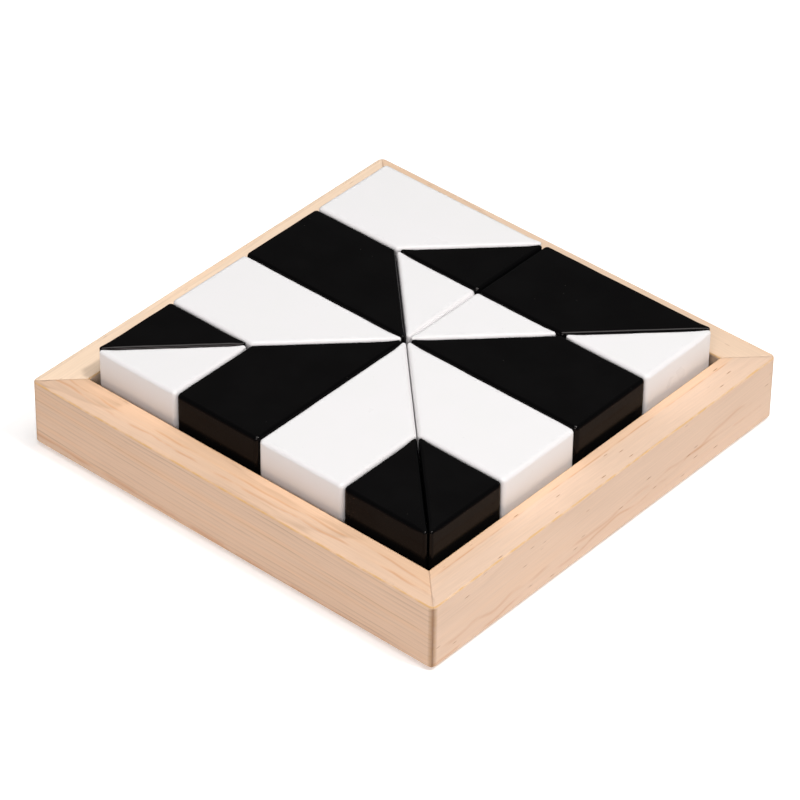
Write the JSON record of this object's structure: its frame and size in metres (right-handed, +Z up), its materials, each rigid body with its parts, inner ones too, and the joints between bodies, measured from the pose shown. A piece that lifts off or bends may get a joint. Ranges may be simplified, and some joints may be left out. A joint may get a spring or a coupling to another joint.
{
  "type": "block arrangement puzzle",
  "caption": "Square mitred wooden tray holding loose triangular and trapezoidal black and white painted blocks that lift out and rearrange into patterns.",
  "frame": {"origin": "middle of the tray's underside, on the surface it stands on", "axes": "+Z up out of the tray, +X along the front rail towards the right rail, +Y from the front rail to the back rail"},
  "size_m": [0.1448, 0.1448, 0.0315],
  "materials": {
    "rail_wood": "pale softwood, sanded, with a thin clear satin finish",
    "panel_wood": "birch-faced plywood, sanded",
    "black_paint": "solid wood under black satin lacquer",
    "white_paint": "solid wood under white satin lacquer"
  },
  "bodies": {
    "tray": {"rail_front": "rail_wood", "rail_right": "rail_wood", "rail_back": "rail_wood", "rail_left": "rail_wood", "base_panel": "panel_wood"},
    "black_triangle_1": {"black_triangle_1": "black_paint"},
    "black_triangle_2": {"black_triangle_2": "black_paint"},
    "black_triangle_3": {"black_triangle_3": "black_paint"},
    "black_triangle_4": {"black_triangle_4": "black_paint"},
    "white_triangle_1": {"white_triangle_1": "white_paint"},
    "white_triangle_2": {"white_triangle_2": "white_paint"},
    "white_triangle_3": {"white_triangle_3": "white_paint"},
    "white_triangle_4": {"white_triangle_4": "white_paint"},
    "black_trapezoid_1": {"black_trapezoid_1": "black_paint"},
    "black_trapezoid_2": {"black_trapezoid_2": "black_paint"},
    "black_trapezoid_3": {"black_trapezoid_3": "black_paint"},
    "black_trapezoid_4": {"black_trapezoid_4": "black_paint"},
    "white_trapezoid_1": {"white_trapezoid_1": "white_paint"},
    "white_trapezoid_2": {"white_trapezoid_2": "white_paint"},
    "white_trapezoid_3": {"white_trapezoid_3": "white_paint"},
    "white_trapezoid_4": {"white_trapezoid_4": "white_paint"}
  },
  "joints": [
    {"name": "black_triangle_1_lift", "type": "slide", "parent": "tray", "child": "black_triangle_1", "axis": [0, 0, 1], "range_m": [0, 0.03]},
    {"name": "black_triangle_2_lift", "type": "slide", "parent": "tray", "child": "black_triangle_2", "axis": [0, 0, 1], "range_m": [0, 0.03]},
    {"name": "black_triangle_3_lift", "type": "slide", "parent": "tray", "child": "black_triangle_3", "axis": [0, 0, 1], "range_m": [0, 0.03]},
    {"name": "black_triangle_4_lift", "type": "slide", "parent": "tray", "child": "black_triangle_4", "axis": [0, 0, 1], "range_m": [0, 0.03]},
    {"name": "white_triangle_1_lift", "type": "slide", "parent": "tray", "child": "white_triangle_1", "axis": [0, 0, 1], "range_m": [0, 0.03]},
    {"name": "white_triangle_2_lift", "type": "slide", "parent": "tray", "child": "white_triangle_2", "axis": [0, 0, 1], "range_m": [0, 0.03]},
    {"name": "white_triangle_3_lift", "type": "slide", "parent": "tray", "child": "white_triangle_3", "axis": [0, 0, 1], "range_m": [0, 0.03]},
    {"name": "white_triangle_4_lift", "type": "slide", "parent": "tray", "child": "white_triangle_4", "axis": [0, 0, 1], "range_m": [0, 0.03]},
    {"name": "black_trapezoid_1_lift", "type": "slide", "parent": "tray", "child": "black_trapezoid_1", "axis": [0, 0, 1], "range_m": [0, 0.03]},
    {"name": "black_trapezoid_2_lift", "type": "slide", "parent": "tray", "child": "black_trapezoid_2", "axis": [0, 0, 1], "range_m": [0, 0.03]},
    {"name": "black_trapezoid_3_lift", "type": "slide", "parent": "tray", "child": "black_trapezoid_3", "axis": [0, 0, 1], "range_m": [0, 0.03]},
    {"name": "black_trapezoid_4_lift", "type": "slide", "parent": "tray", "child": "black_trapezoid_4", "axis": [0, 0, 1], "range_m": [0, 0.03]},
    {"name": "white_trapezoid_1_lift", "type": "slide", "parent": "tray", "child": "white_trapezoid_1", "axis": [0, 0, 1], "range_m": [0, 0.03]},
    {"name": "white_trapezoid_2_lift", "type": "slide", "parent": "tray", "child": "white_trapezoid_2", "axis": [0, 0, 1], "range_m": [0, 0.03]},
    {"name": "white_trapezoid_3_lift", "type": "slide", "parent": "tray", "child": "white_trapezoid_3", "axis": [0, 0, 1], "range_m": [0, 0.03]},
    {"name": "white_trapezoid_4_lift", "type": "slide", "parent": "tray", "child": "white_trapezoid_4", "axis": [0, 0, 1], "range_m": [0, 0.03]}
  ]
}
